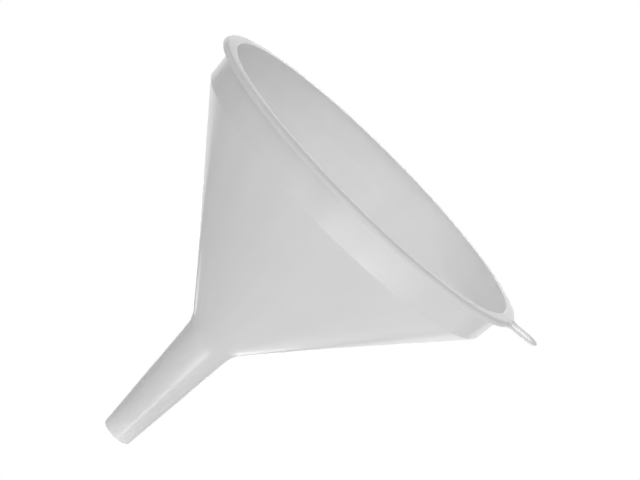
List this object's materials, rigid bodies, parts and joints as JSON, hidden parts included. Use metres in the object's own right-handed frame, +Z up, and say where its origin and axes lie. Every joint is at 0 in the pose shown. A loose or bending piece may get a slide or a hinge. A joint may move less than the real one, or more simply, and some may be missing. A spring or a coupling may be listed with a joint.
{
  "type": "funnel",
  "caption": "Plastic funnel with a flat flanged rim, a short collar, a straight cone, a tapered stem and a loop to hang it by.",
  "frame": {"origin": "on the funnel's axis, inside the circle where the cone rests on the mouth of a bottle or a funnel holder (outer diameter 50 mm)", "axes": "+Z up along the axis from the stem's tip to the mouth, +X towards the hanging loop, +Y across"},
  "size_m": [0.2695, 0.25, 0.2385],
  "materials": {
    "milky_plastic": "milky, translucent, neutral grey-white moulded polypropylene with a soft gloss"
  },
  "bodies": {
    "root": {"rim_flange": "milky_plastic", "collar": "milky_plastic", "cone_bowl": "milky_plastic", "neck": "milky_plastic", "stem": "milky_plastic", "hanging_loop": "milky_plastic"}
  },
  "joints": []
}
